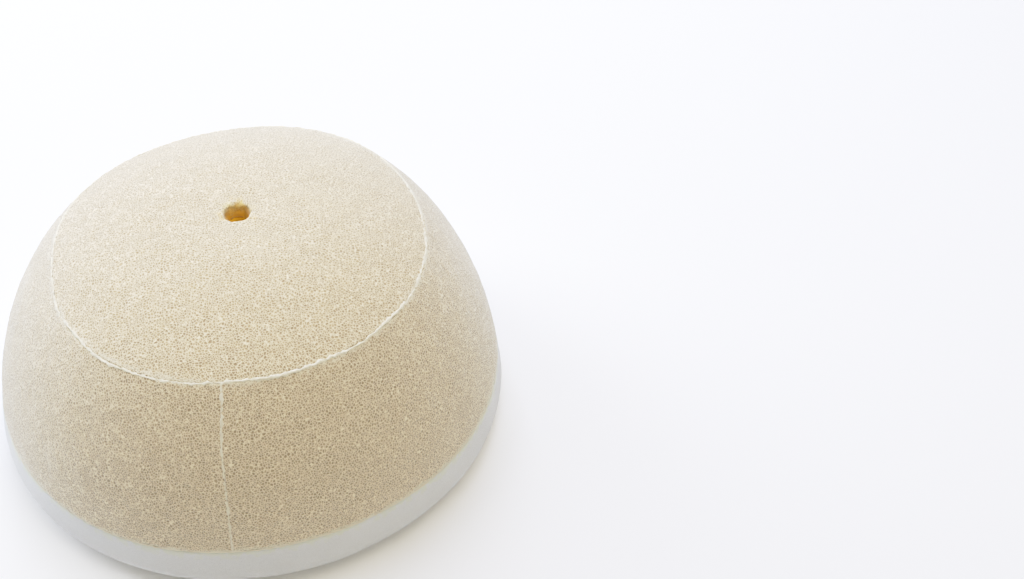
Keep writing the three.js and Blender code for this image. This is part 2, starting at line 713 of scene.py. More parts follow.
def foam_cells() -> bpy.types.NodeTree:
    """Open foam cells, with shade painted into the pores in their middles and highlights painted on
    the struts between them.

    Returns:
        A group that gives the masks Pore, where shade is painted into the pores, and Strut, where
        highlights are painted on the struts, and a Height for bumps. Strut Width is a share of the
        cell size.
    """
    wiring, given, result = new_group(
        "Foam Cells",
        {"Vector": Socket.VECTOR, "Cell Size": Socket.VALUE, "Strut Width": Socket.VALUE},
        {"Pore": Socket.VALUE, "Strut": Socket.VALUE, "Height": Socket.VALUE},
    )
    bends_per_cell = 0.12
    bend_in_cells = 2.0
    pit_slope = 0.16
    shallowest_pore = 0.5
    strut_rise = 0.4
    size = given.outputs["Cell Size"]
    bends = wiring.add("ShaderNodeTexNoise")
    wiring.feed(bends.inputs["Vector"], given.outputs["Vector"])
    wiring.feed(bends.inputs["Scale"], wiring.maths("DIVIDE", bends_per_cell, size))
    wiring.feed(bends.inputs["Detail"], 0.0)
    shift = wiring.add("ShaderNodeVectorMath", operation="SCALE")
    wiring.feed(shift.inputs["Vector"], bends.outputs["Color"])
    wiring.feed(shift.inputs["Scale"], wiring.maths("MULTIPLY", size, bend_in_cells))
    bent = wiring.add("ShaderNodeVectorMath", operation="ADD")
    wiring.feed(bent.inputs[0], given.outputs["Vector"])
    wiring.feed(bent.inputs[1], shift.outputs["Vector"])
    turned = wiring.add("ShaderNodeVectorRotate", rotation_type="EULER_XYZ")
    wiring.feed(turned.inputs["Vector"], bent.outputs["Vector"])
    turned.inputs["Rotation"].default_value = CELL_TURN
    scale = wiring.maths("DIVIDE", 1.0, size)
    middles = wiring.add("ShaderNodeTexVoronoi")
    edges = wiring.add("ShaderNodeTexVoronoi", feature="DISTANCE_TO_EDGE")
    for node in (middles, edges):
        wiring.feed(node.inputs["Vector"], turned.outputs["Vector"])
        wiring.feed(node.inputs["Scale"], scale)
        wiring.feed(node.inputs["Randomness"], CELL_RANDOMNESS)
    width = given.outputs["Strut Width"]
    far = wiring.maths("ADD", width, pit_slope)
    pit = wiring.ramp(edges.outputs["Distance"], width, far)
    tone = wiring.add("ShaderNodeSeparateColor")
    wiring.feed(tone.inputs["Color"], middles.outputs["Color"])
    openness = wiring.ramp(tone.outputs["Red"], 0.0, 1.0, shallowest_pore, 1.0)
    # Painted shade and highlights: the first mask darkens the pores, the more open ones the more,
    # and the second lightens the struts.
    shaded_pore = wiring.maths("MULTIPLY", pit, openness)
    lit_strut = wiring.ramp(edges.outputs["Distance"], 0.0, width, 1.0, 0.0)
    height = wiring.maths("SUBTRACT", wiring.maths("MULTIPLY", lit_strut, strut_rise), shaded_pore)
    wiring.feed(result.inputs["Pore"], shaded_pore)
    wiring.feed(result.inputs["Strut"], lit_strut)
    wiring.feed(result.inputs["Height"], height)
    return wiring.tree


def slow_drift() -> bpy.types.NodeTree:
    """Slow patches, as of uneven dye or handling.

    Returns:
        A group that gives a Value from 0 to 1.
    """
    wiring, given, result = new_group(
        "Slow Drift",
        {"Vector": Socket.VECTOR, "Patch Size": Socket.VALUE},
        {"Value": Socket.VALUE},
    )
    pattern = wiring.add("ShaderNodeTexNoise")
    wiring.feed(pattern.inputs["Vector"], given.outputs["Vector"])
    wiring.feed(pattern.inputs["Scale"], wiring.maths("DIVIDE", 1.0, given.outputs["Patch Size"]))
    wiring.feed(pattern.inputs["Detail"], 3.0)
    drift = wiring.ramp(pattern.outputs["Fac"], NOISE_LOW, NOISE_HIGH)
    wiring.feed(result.inputs["Value"], drift)
    return wiring.tree


def glue_soak() -> bpy.types.NodeTree:
    """Adhesive soaked into the foam round a circular joint, and light painted into the shaded bolt
    hole.

    Returns:
        A group that gives a Value, 1 at the joint and 0 past its reach, with a ragged edge.
    """
    wiring, given, result = new_group(
        "Soaked Ring And Hole Light",
        {
            "Vector": Socket.VECTOR,
            "Joint Radius": Socket.VALUE,
            "Joint Height": Socket.VALUE,
            "Reach": Socket.VALUE,
        },
        {"Value": Socket.VALUE},
    )
    waves_per_reach = 1.5
    least = 0.25
    most = 1.3
    parts = wiring.add("ShaderNodeSeparateXYZ")
    wiring.feed(parts.inputs["Vector"], given.outputs["Vector"])
    flat = wiring.add("ShaderNodeCombineXYZ")
    wiring.feed(flat.inputs["X"], parts.outputs["X"])
    wiring.feed(flat.inputs["Y"], parts.outputs["Y"])
    radius = wiring.add("ShaderNodeVectorMath", operation="LENGTH")
    wiring.feed(radius.inputs[0], flat.outputs["Vector"])
    apart = wiring.add("ShaderNodeCombineXYZ")
    across = wiring.maths("SUBTRACT", radius.outputs["Value"], given.outputs["Joint Radius"])
    rise = wiring.maths("SUBTRACT", parts.outputs["Z"], given.outputs["Joint Height"])
    wiring.feed(apart.inputs["X"], across)
    wiring.feed(apart.inputs["Y"], rise)
    distance = wiring.add("ShaderNodeVectorMath", operation="LENGTH")
    wiring.feed(distance.inputs[0], apart.outputs["Vector"])
    pattern = wiring.add("ShaderNodeTexNoise")
    wiring.feed(pattern.inputs["Vector"], given.outputs["Vector"])
    scale = wiring.maths("DIVIDE", waves_per_reach, given.outputs["Reach"])
    wiring.feed(pattern.inputs["Scale"], scale)
    ragged = wiring.ramp(pattern.outputs["Fac"], NOISE_LOW, NOISE_HIGH, least, most)
    edge = wiring.maths("MULTIPLY", given.outputs["Reach"], ragged)
    wiring.feed(result.inputs["Value"], wiring.ramp(distance.outputs["Value"], 0.0, edge, 1.0, 0.0))
    return wiring.tree


Colour = tuple[float, float, float, float]


@dataclass(frozen=True)
class SoakAndHoleLight:
    """Where something has soaked in round a circular joint, and, in the bolt hole, where light is
    painted into the shade.

    Attributes:
        radius: The joint's radius, in metres.
        height: Its height above the floor, in metres.
        reach: How far the soak reaches, in metres.
        strength: How much of its colour shows at the joint.
        colour: Its colour.
    """

    radius: float
    height: float
    reach: float
    strength: float
    colour: Colour = (0.80, 0.76, 0.56, 1)

    def share(
        self, wiring: Wiring, effects: Effects, place: bpy.types.NodeSocket
    ) -> bpy.types.NodeSocket:
        """Works out how strongly the soaked-in colour, and the light painted into the bolt hole,
        shows at a place.

        Args:
            wiring: The material's wiring.
            effects: The shared node groups.
            place: The socket that gives the place.

        Returns:
            The socket of the share, from 0 to 1.
        """
        soaked = wiring.group(
            effects.soak,
            Vector=place,
            Joint_Radius=self.radius,
            Joint_Height=self.height,
            Reach=self.reach,
        )
        return wiring.maths("MULTIPLY", soaked.outputs["Value"], self.strength)


@dataclass(frozen=True)
class FoamFinish:
    """An open-cell foam, with its lengths in metres.

    Attributes:
        name: The material's name.
        body: Its colour between pores and struts.
        shaded_pore: Painted shade in its pores.
        lit_strut: The colour of its struts, lightened into a painted highlight.
        cell: How far apart its cells are.
        strut_width: Width of a strut, as a share of a cell.
        pore_share: How much of the shade painted into the pores shows.
        strut_share: How much of the highlight painted on the struts shows.
        bump: Depth of its bumps.
        drift_share: How much darker its patches are.
        drift_size: Their size.
        roughness: Its roughness.
        sheen: Strength of its sheen.
        sheen_tint: Colour of its sheen.
        sheen_roughness: Roughness of its sheen.
        specular: Strength of its gloss.
        soaks: What has soaked into it, and the light painted into its bolt hole.
    """

    name: str
    body: Colour
    shaded_pore: Colour
    lit_strut: Colour
    cell: float
    strut_width: float
    pore_share: float
    strut_share: float
    bump: float
    drift_share: float
    drift_size: float
    roughness: float
    sheen: float
    sheen_tint: Colour
    sheen_roughness: float = 0.6
    specular: float = 0.25
    soaks: tuple[SoakAndHoleLight, ...] = ()

    def make(self, effects: Effects) -> bpy.types.Material:
        """Builds the material.

        Args:
            effects: The shared node groups.

        Returns:
            The material.
        """
        paint = Paint.start(self.name)
        wiring = paint.wiring
        place = paint.place
        cells = wiring.group(
            effects.cells, Vector=place, Cell_Size=self.cell, Strut_Width=self.strut_width
        )
        drift = wiring.group(effects.drift, Vector=place, Patch_Size=self.drift_size)
        deep = tuple(channel * (1 - self.drift_share) for channel in self.body[:3]) + (1.0,)
        colour = wiring.blend(drift.outputs["Value"], self.body, deep)
        # Painted highlights on the struts, then painted shade in the pores.
        lit_strut = wiring.maths("MULTIPLY", cells.outputs["Strut"], self.strut_share)
        colour = wiring.blend(lit_strut, colour, self.lit_strut)
        shaded_pore = wiring.maths("MULTIPLY", cells.outputs["Pore"], self.pore_share)
        height = cells.outputs["Height"]
        # Soaked-in colours, and the light painted into the bolt hole, each also hide the shade
        # painted in the pores and flatten the bumps.
        for soak in self.soaks:
            share = soak.share(wiring, effects, place)
            colour = wiring.blend(share, colour, soak.colour)
            left = wiring.maths("SUBTRACT", 1.0, share)
            shaded_pore = wiring.maths("MULTIPLY", shaded_pore, left)
            height = wiring.maths("MULTIPLY", height, left)
        colour = wiring.blend(shaded_pore, colour, self.shaded_pore)
        wiring.feed(paint.shader.inputs["Base Color"], colour)
        paint.bump(height, self.bump)
        paint.set(
            Roughness=self.roughness,
            Specular_IOR_Level=self.specular,
            Sheen_Weight=self.sheen,
            Sheen_Roughness=self.sheen_roughness,
            Sheen_Tint=self.sheen_tint,
        )
        return paint.material


@dataclass(frozen=True)
class GlueFinish:
    """A cured, flexible adhesive, with its lengths in metres.

    Attributes:
        name: The material's name.
        pale: Its colour.
        stained: The colour of its patches.
        patch: Their size.
        lump: Size of its lumps.
        bump: Their height.
        roughness: Its roughness.
        sheen: Strength of its sheen.
        soaks: What has soaked into it.
    """

    name: str
    pale: Colour
    stained: Colour
    patch: float
    lump: float
    bump: float
    roughness: float
    sheen: float = 0.0
    soaks: tuple[SoakAndHoleLight, ...] = ()

    def make(self, effects: Effects) -> bpy.types.Material:
        """Builds the material.

        Args:
            effects: The shared node groups.

        Returns:
            The material.
        """
        paint = Paint.start(self.name)
        wiring = paint.wiring
        place = paint.place
        drift = wiring.group(effects.drift, Vector=place, Patch_Size=self.patch)
        colour = wiring.blend(drift.outputs["Value"], self.pale, self.stained)
        for soak in self.soaks:
            colour = wiring.blend(soak.share(wiring, effects, place), colour, soak.colour)
        wiring.feed(paint.shader.inputs["Base Color"], colour)
        lumps = wiring.group(effects.drift, Vector=place, Patch_Size=self.lump)
        paint.bump(lumps.outputs["Value"], self.bump)
        paint.set(Roughness=self.roughness, Sheen_Weight=self.sheen)
        return paint.material


# The filter's finishes, with colours in linear light.


def coarse_foam(dome: Dome) -> FoamFinish:
    """The cream-tan foam of the outer stage.

    Args:
        dome: The filter's outer skin, which says where the joints lie.

    Returns:
        The finish.
    """
    ring = SoakAndHoleLight(dome.ring_radius * MM, dome.ring_height * MM, 2.2 * MM, 0.6, (0.86, 0.80, 0.62, 1))
    base = SoakAndHoleLight(dome.joint_radius * MM, dome.joint_height * MM, 2.6 * MM, 0.8)
    # Painted light in the bolt hole: its rim and wall are lightened to pale yellow and amber where
    # they sit in shade, over the oily foam's own amber; this also hides the dark pores and the
    # crease there.
    rim = SoakAndHoleLight(4.4 * MM, (dome.height - 1.5) * MM, 3.4 * MM, 0.8, (0.92, 0.78, 0.40, 1))
    oil_and_hole_light = SoakAndHoleLight(4.2 * MM, (dome.height - 5.0) * MM, 6.2 * MM, 1.0, (0.86, 0.52, 0.02, 1))
    return FoamFinish(
        name="coarse tan foam",
        body=(0.68, 0.53, 0.305, 1),
        # Painted shade in the pores, and the struts' tan lightened into painted highlights.
        shaded_pore=(0.30, 0.20, 0.09, 1),
        lit_strut=(1.0, 0.89, 0.65, 1),
        cell=0.82 * MM,
        strut_width=0.13,
        pore_share=0.6,
        strut_share=0.95,
        bump=0.12 * MM,
        drift_share=0.05,
        drift_size=14 * MM,
        roughness=0.9,
        sheen=0.65,
        sheen_tint=(0.93, 0.99, 1.0, 1),
        soaks=(ring, base, rim, oil_and_hole_light),
    )


def fine_foam(dome: Dome) -> FoamFinish:
    """The oil-amber foam of the inner stage.

    Args:
        dome: The filter's outer skin, which says where the joints lie.

    Returns:
        The finish.
    """
    # Painted light: the amber foam round the bolt hole is lightened where light falls through the
    # hole.
    hole = SoakAndHoleLight(3.5 * MM, (dome.height - 7.5) * MM, 9 * MM, 0.9, (0.90, 0.58, 0.05, 1))
    return FoamFinish(
        name="fine amber foam",
        body=(0.64, 0.34, 0.02, 1),
        # Painted shade in the pores, and the struts' amber lightened into painted highlights.
        shaded_pore=(0.30, 0.13, 0.005, 1),
        lit_strut=(0.78, 0.46, 0.05, 1),
        cell=0.5 * MM,
        strut_width=0.12,
        pore_share=0.35,
        strut_share=0.3,
        bump=0.08 * MM,
        drift_share=0.08,
        drift_size=18 * MM,
        roughness=0.95,
        sheen=0.1,
        sheen_tint=(1.0, 0.85, 0.5, 1),
        soaks=(hole,),
    )


def seal_foam(dome: Dome) -> FoamFinish:
    """The soft white foam of the sealing ring.

    Args:
        dome: The filter's outer skin, which says where the joints lie.

    Returns:
        The finish.
    """
    pale_green = (0.80, 0.82, 0.66, 1)
    base = SoakAndHoleLight((dome.joint_radius + 0.3) * MM, dome.joint_height * MM, 4 * MM, 0.8, pale_green)
    return FoamFinish(
        name="soft white foam",
        body=(0.83, 0.84, 0.82, 1),
        # Painted shade in the pores, and the struts' white lightened into painted highlights.
        shaded_pore=(0.60, 0.59, 0.57, 1),
        lit_strut=(0.90, 0.90, 0.88, 1),
        cell=0.42 * MM,
        strut_width=0.12,
        pore_share=0.22,
        strut_share=0.3,
        bump=0.05 * MM,
        drift_share=0.03,
        drift_size=25 * MM,
        roughness=0.95,
        sheen=0.2,
        sheen_tint=(1.0, 1.0, 1.0, 1),
        soaks=(base,),
    )


def seam_glue(dome: Dome) -> GlueFinish:
    """The off-white adhesive in the outer joints, duller where it has sunk in at the base.

    Args:
        dome: The filter's outer skin, which says where the joints lie.

    Returns:
        The finish.
    """
    dull = (0.82, 0.77, 0.60, 1)
    base = SoakAndHoleLight(dome.joint_radius * MM, dome.joint_height * MM, 24 * MM, 0.7, dull)
    return GlueFinish(
        name="off-white seam adhesive",
        pale=(0.95, 0.89, 0.71, 1),
        stained=(0.88, 0.82, 0.62, 1),
        patch=9 * MM,
        lump=0.9 * MM,
        bump=0.12 * MM,
        roughness=0.6,
        sheen=0.25,
        soaks=(base,),
    )


def amber_glue() -> GlueFinish:
    """The adhesive in the inner joints, stained by the oil in the fine foam.

    Returns:
        The finish.
    """
    return GlueFinish(
        name="amber-soaked adhesive",
        pale=(0.58, 0.31, 0.02, 1),
        stained=(0.48, 0.24, 0.01, 1),
        patch=7 * MM,
        lump=1.2 * MM,
        bump=0.1 * MM,
        roughness=0.6,
    )


# The filter's pieces


@dataclass(frozen=True)
class Piece:
    """A finished piece, ready to be dressed.

    Attributes:
        body: Its object.
        node: The CAD node that it stands for.
        slot: Its material slot. It is not used.
        fill: How full a padded piece is, or None for a solid one. It is not used.
    """

    body: bpy.types.Object
    node: str
    slot: str
    fill: float | None = None

    def dress(self, material: bpy.types.Material) -> None:
        """Puts the finish on and ties the piece to the frame.

        Args:
            material: The finish.
        """
        self.body.data.materials.append(material)
        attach(self.body, "root")
        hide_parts(self.node)


@dataclass(frozen=True)
class Bead:
    """A hand-laid line of adhesive that fills a joint and stands a little above the skin.

    Attributes:
        width: Its width on the skin, in millimetres.
        proud: How far it stands above the skin.
        depth: How deep it reaches into the joint.
        wander: How far it strays to either side.
        ragged: How far its edges are torn.
        seed: Picks its unevenness.
        core: Its thickness in the joint.
        root: The depth at which it has narrowed to its core.
        skirt: How far its edges reach under the skin.
        thinnest: The share of its width that it keeps where its fullness is 0.
        uneven: The share by which its width varies.
        swells: How full it is, as pairs of a share of its length and a fullness.
    """

    width: float
    proud: float
    depth: float
    wander: float
    ragged: float
    seed: float
    core: float = 0.3
    root: float = 0.4
    skirt: float = 0.3
    thinnest: float = 0.5
    uneven: float = 0.25
    swells: tuple[tuple[float, float], ...] = ((0.0, 1.0),)

    def section(self) -> list[Vector]:
        """Works out its closed outline.

        Returns:
            The outline's (across, outward) points, with the skin at outward 0.
        """
        half = self.width / 2
        core = self.core / 2
        tall = self.proud + self.skirt
        cap_steps = 8
        angles = [math.pi * i / cap_steps for i in range(cap_steps + 1)]
        cap = [Vector((math.cos(a) * half, math.sin(a) * tall - self.skirt)) for a in angles]
        left = [Vector((-core, -self.root)), Vector((-core, -self.depth))]
        right = [Vector((core, -self.depth)), Vector((core, -self.root))]
        return cap + left + right

    def swell(self, share: float) -> float:
        """Works out how full the bead is.

        Args:
            share: The share of its length, from 0 to under 1.

        Returns:
            Its fullness, 1 where it has its plain width and height.
        """
        before = max(s for s in self.swells if s[0] <= share)
        after = min((s for s in self.swells if s[0] > share), default=(1.0, self.swells[0][1]))
        way = (share - before[0]) / max(after[0] - before[0], 1e-6)
        return before[1] + (after[1] - before[1]) * ease(way)

    def lay(self, across: float, outward: float, share: float, place: Vector) -> Vector:
        """Moves a point of the true section to where the hand laid it.

        Args:
            across: Its place across the bead.
            outward: Its height above the skin.
            share: Its share of the bead's length.
            place: Where it is in the filter's frame, for the noise.

        Returns:
            Its new place as (across, outward).
        """
        if outward < ROOT_SLACK - self.root:
            return Vector((across, outward))
        fullness = self.swell(share)
        edge = abs(across) / (self.width / 2)
        drift = ripple(place, WANDER_WAVES, self.seed) * self.wander
        tooth = ripple(place, TOOTH_WAVES, self.seed + 5) * self.ragged * edge
        crumb = ripple(place, CRUMB_WAVES, self.seed + 9) * self.ragged * 0.5
        spread = 1 + ripple(place, WIDTH_WAVES, self.seed + 2) * self.uneven
        wide = across * (self.thinnest + (1 - self.thinnest) * fullness) * spread
        return Vector((wide + drift + tooth, outward * fullness + crumb * (1 - 0.5 * edge)))


class Stage(Enum):
    """The two foam stages of the filter."""

    OUTER = "outer"
    INNER = "inner"


@dataclass(frozen=True)
class FoamStage:
    """One layer of the cup: a crown panel and a side band, with adhesive in their joints.

    Lengths are in millimetres.

    Attributes:
        stage: Which of the two layers it is.
        dome: The filter's outer skin.
        forming: How its foam is out of true.
        top: Depth of its upper face under the skin.
        bottom: Depth of its lower face.
        hole: Radius of its bolt hole.
        grain: The longest edge on its open face.
        foam_slot: The panels' material slot.
        glue_slot: The adhesive's material slot.
        lumps: How far the foam's lumps stand out.
        seed: Picks the lumps.
        ring_bead: The bead between crown and side.
        side_bead: The bead down the side band's butt joint.
        base_bead: The bead between the side band and the sealing ring.
        seam_gap: Half the width of a joint.
        edge_round: Size of the panels' rounded edges.
        base_gap: How far the side band stops above the base joint.
        base_drop: How far the base bead's middle lies below it.
        rim_round: Size of the bolt hole's rounded rim.
        lip: How far the rim stands above the panel.
        lip_width: How far past the rim the lip stays level.
        lip_foot: How far past the rim it ends.
        chamfer: Size of the chamfer at the bolt hole's foot.
        torn_reach: How far the punch tore the foam round the hole.
        tears: The unevenness of that foam.
        side_ends: Where the side bead starts and ends, from the ring joint and the base joint.
        fill: How full the padded panels are.
        coarse_spacing: The outline's spacing on the hidden face.
        skin: How deep the finely cut skin of the open face is.
        steps: Steps in the panels' turn.
        ring_steps: Steps in the ring bead's turn.
        base_steps: Steps in the base bead's turn.
        side_step: Length of a step of the side bead.
    """

    stage: Stage
    dome: Dome
    forming: HandForming
    top: float
    bottom: float
    hole: float
    grain: float
    foam_slot: str
    glue_slot: str
    lumps: float
    seed: float
    ring_bead: Bead
    side_bead: Bead
    base_bead: Bead
    seam_gap: float = 0.12
    edge_round: float = 0.28
    base_gap: float = 0.1
    base_drop: float = 0.1
    rim_round: float = 0.8
    lip: float = 0.0
    lip_width: float = 0.4
    lip_foot: float = 0.6
    chamfer: float = 0.1
    torn_reach: float = 2.5
    tears: tuple[Waves, ...] = (Waves(1.6, 0.5, 3), Waves(4.5, 0.35, 8))
    side_ends: tuple[float, float] = (0.2, 0.3)
    fill: float = 0.9
    coarse_spacing: float = 7.0
    skin: float = 1.3
    steps: int = 240
    ring_steps: int = 840
    base_steps: int = 720
    side_step: float = 0.5

    def seen(self, place: Vector) -> bool:
        """Says whether a place lies on the stage's open face.

        Args:
            place: The place in the filter's frame, in metres.

        Returns:
            Whether it lies there, or in the thin skin under it.
        """
        depth = self.dome.depth_at(place)
        if self.stage is Stage.OUTER:
            return depth < self.top + self.skin
        return depth > self.bottom - self.skin

    def spacings(self) -> tuple[float, float]:
        """Works out how far apart the outline's points are.

        Returns:
            The spacing on the upper face and on the lower one.
        """
        fine = self.grain * 4
        if self.stage is Stage.OUTER:
            return fine, self.coarse_spacing
        return self.coarse_spacing, fine

    def edge_corners(self) -> list[tuple[float, float]]:
        """Works out the rounded edge beside the ring joint, from the upper face to the lower one.

        Returns:
            Each corner's depth, and its distance from the joint's middle.
        """
        shallow = self.edge_round * 0.3
        return [
            (self.top + shallow, self.seam_gap + shallow),
            (self.top + self.edge_round, self.seam_gap),
            (self.bottom - self.edge_round, self.seam_gap),
        ]

    def hole_wall(self, high: float, low: float) -> list[Vector]:
        """Works out the bolt hole's wall, its rounded rim and the lip round it.

        Args:
            high: Height of the panel's upper face.
            low: Height of its lower face.

        Returns:
            The points, from the bottom up.
        """
        rim = self.rim_round
        brow = high + self.lip
        land = self.hole + rim * 2
        return [
            Vector((self.hole, low + self.chamfer)),
            Vector((self.hole, brow - rim * 1.4)),
            Vector((self.hole + rim * 0.3, brow - rim * 0.45)),
            Vector((self.hole + rim, brow - rim * 0.1)),
            Vector((land, brow)),
            Vector((land + self.lip_width, brow)),
            Vector((land + self.lip_foot, high)),
        ]

    def crown_panel(self) -> Piece:
        """Makes the domed disc with the bolt hole.

        Returns:
            The disc.
        """
        dome = self.dome
        level = math.pi / 2
        upper, lower = self.spacings()
        edge = self.seam_gap + self.edge_round
        low = dome.height - self.bottom
        corners = [dome.crown.at(d, dome.crown_edge(d, inset)) for d, inset in self.edge_corners()]
        outline = [
            *self.hole_wall(dome.height - self.top, low),
            *dome.crown.run(self.top, level, dome.crown_edge(self.top, edge), upper),
            *corners,
            *dome.crown.run(self.bottom, dome.crown_edge(self.bottom, edge), level, lower),
            Vector((self.hole + self.rim_round * 2, low)),
            Vector((self.hole + self.chamfer, low)),
        ]
        work = Workpiece()
        work.turn(outline, self.steps)
        torn = (self.hole + self.torn_reach) * MM
        work.refine(
            self.grain, lambda place: self.seen(place) or math.hypot(place.x, place.y) < torn
        )
        work.shape(self.fray)
        return self.foam(work, "crown_foam", "crown_panel")

    def fray(self, place: Vector) -> Vector:
        """Roughens the bolt hole's wall, where the punch tore the foam's cells.

        Args:
            place: A place on the panel.

        Returns:
            Its new place.
        """
        radius = math.hypot(place.x, place.y) / MM
        near = 1 - ease((radius - self.hole) / self.torn_reach)
        push = near * sum(tear.at(place) for tear in self.tears)
        scale = 1 + push / max(radius, 1)
        return Vector((place.x * scale, place.y * scale, place.z))

    def side_band(self) -> Piece:
        """Makes the bent strip, open at its butt joint.

        Returns:
            The strip.
        """
        dome = self.dome
        upper, lower = self.spacings()
        edge = self.seam_gap + self.edge_round
        foot = dome.joint_height + self.base_gap
        top_run = dome.side.run(
            self.top,
            dome.side_edge(self.top, edge),
            dome.side_level(self.top, foot + self.edge_round),
            upper,
        )
        bottom_run = dome.side.run(
            self.bottom,
            dome.side_level(self.bottom, foot + self.edge_round),
            dome.side_edge(self.bottom, edge),
            lower,
        )
        foot_out = dome.side.at(self.top, dome.side_level(self.top, foot))
        foot_in = dome.side.at(self.bottom, dome.side_level(self.bottom, foot))
        corners = [dome.side.at(d, dome.side_edge(d, inset)) for d, inset in self.edge_corners()]
        outline = [
            corners[0],
            *top_run,
            foot_out - Vector((self.edge_round, 0)),
            foot_in + Vector((self.edge_round, 0)),
            *bottom_run,
            corners[2],
            corners[1],
        ]
        work = Workpiece()
        gap = 2 * self.seam_gap / dome.ring_radius
        work.turn(outline, self.steps, gap)
        work.refine(self.grain, self.seen)
        return self.foam(work, "side_foam", "side_band")

    def foam(self, work: Workpiece, name: str, node: str) -> Piece:
        """Finishes a foam piece of this stage.

        Args:
            work: Its mesh in the making.
            name: Its name.
            node: Name of the CAD node that it stands for.

        Returns:
            The piece.
        """
        work.roughen(self.lumps, self.seed, self.seen)
        work.shape(self.forming.place)
        body = work.finish(f"{self.stage.value}_{name}")
        return Piece(body, f"{self.stage.value}_{node}", self.foam_slot, self.fill)

    def open_face(self) -> float:
        """Gives the depth of the stage's open face."""
        return self.top if self.stage is Stage.OUTER else self.bottom

    def turned_bead(self, bead: Bead, start: Vector, outward: Vector, steps: int) -> Workpiece:
        """Lays a bead all the way round the filter.

        Args:
            bead: The bead.
            start: Its place on the skin, in the radius-height plane.
            outward: The direction in which it stands off the skin there.
            steps: Steps in the whole turn.

        Returns:
            Its mesh in the making.
        """
        across = Vector((-outward.y, outward.x))
        outline = [start + across * p.x + outward * p.y for p in bead.section()]
        work = Workpiece()
        work.turn(outline, steps)

        def lay(place: Vector) -> Vector:
            """Moves one point of the bead.

            Args:
                place: Its place on the true bead.

            Returns:
                Its new place.
            """
            azimuth = math.atan2(place.y, place.x)
            offset = Vector((math.hypot(place.x, place.y), place.z)) / MM - start
            share = ((azimuth - SEAM_AZIMUTH) % TURN) / TURN
            moved = bead.lay(offset.dot(across), offset.dot(outward), share, place)
            flat = (start + across * moved.x + outward * moved.y) * MM
            return Vector((flat.x * math.cos(azimuth), flat.x * math.sin(azimuth), flat.y))

        work.shape(lay)
        return work

    def glue(self, work: Workpiece, joint: str) -> Piece:
        """Finishes the adhesive of one of this stage's joints.

        Args:
            work: Its mesh in the making.
            joint: The joint's name.

        Returns:
            The piece.
        """
        work.shape(self.forming.place)
        body = work.finish(f"{self.stage.value}_{joint}_glue")
        return Piece(body, f"{self.stage.value}_{joint}_seam", self.glue_slot)

    def ring_seam(self) -> Piece:
        """Lays the bead between the crown panel and the side band.

        Returns:
            The bead.
        """
        start = self.dome.ring_joint(self.open_face())
        far = self.dome.ring_joint(self.bottom if self.stage is Stage.OUTER else self.top)
        outward = (start - far).normalized()
        work = self.turned_bead(self.ring_bead, start, outward, self.ring_steps)
        return self.glue(work, "ring")

    def base_seam(self) -> Piece:
        """Lays the glue line between the side band and the sealing ring.

        Returns:
            The bead.
        """
        height = self.dome.joint_height - self.base_drop
        depth = self.open_face()
        radius = self.dome.side.at(depth, self.dome.side_level(depth, height)).x
        outward = Vector((1, 0)) if self.stage is Stage.OUTER else Vector((-1, 0))
        start = Vector((radius, height))
        work = self.turned_bead(self.base_bead, start, outward, self.base_steps)
        return self.glue(work, "base")

    def side_seam(self) -> Piece:
        """Lays the bead down the side band's butt joint.

        Returns:
            The bead.
        """
        dome = self.dome
        bead = self.side_bead
        face = self.open_face()
        sign = 1 if self.stage is Stage.OUTER else -1
        top_end, base_end = self.side_ends
        first = dome.side_edge(face, top_end)
        last = dome.side_level(face, dome.joint_height + base_end)
        reach = dome.side.radius - face
        direction = Vector((0, -math.cos(first), math.sin(first)))
        centre = at_seam(dome.side.centre)
        outline = [
            centre + Vector((p.x * MM, 0, 0)) + direction * (reach + sign * p.y) * MM
            for p in bead.section()
        ]
        work = Workpiece()
        steps = math.ceil((first - last) * reach / self.side_step)
        work.sweep(outline, centre, first - last, steps)

        def lay(place: Vector) -> Vector:
            """Moves one point of the bead.

            Args:
                place: Its place on the true bead.

            Returns:
                Its new place.
            """
            spoke = Vector((0, place.y, place.z)) - centre
            spoke.x = 0
            outward = sign * (spoke.length / MM - reach)
            angle = math.atan2(spoke.z, -spoke.y)
            share = min(max((first - angle) / (first - last), 0.0), BEAD_END)
            moved = bead.lay(place.x / MM, outward, share, place)
            laid = centre + spoke.normalized() * (reach + sign * moved.y) * MM
            return Vector((moved.x * MM, laid.y, laid.z))

        work.shape(lay)
        return self.glue(work, "side")

    def build(self, foam: bpy.types.Material, glue: bpy.types.Material) -> list[Piece]:
        """Builds and dresses the stage.

        Args:
            foam: The finish of the panels.
            glue: The finish of the adhesive.

        Returns:
            The stage's pieces.
        """
        panels = [self.crown_panel(), self.side_band()]
        beads = [self.ring_seam(), self.side_seam(), self.base_seam()]
        for panel in panels:
            panel.dress(foam)
        for bead in beads:
            bead.dress(glue)
        return panels + beads


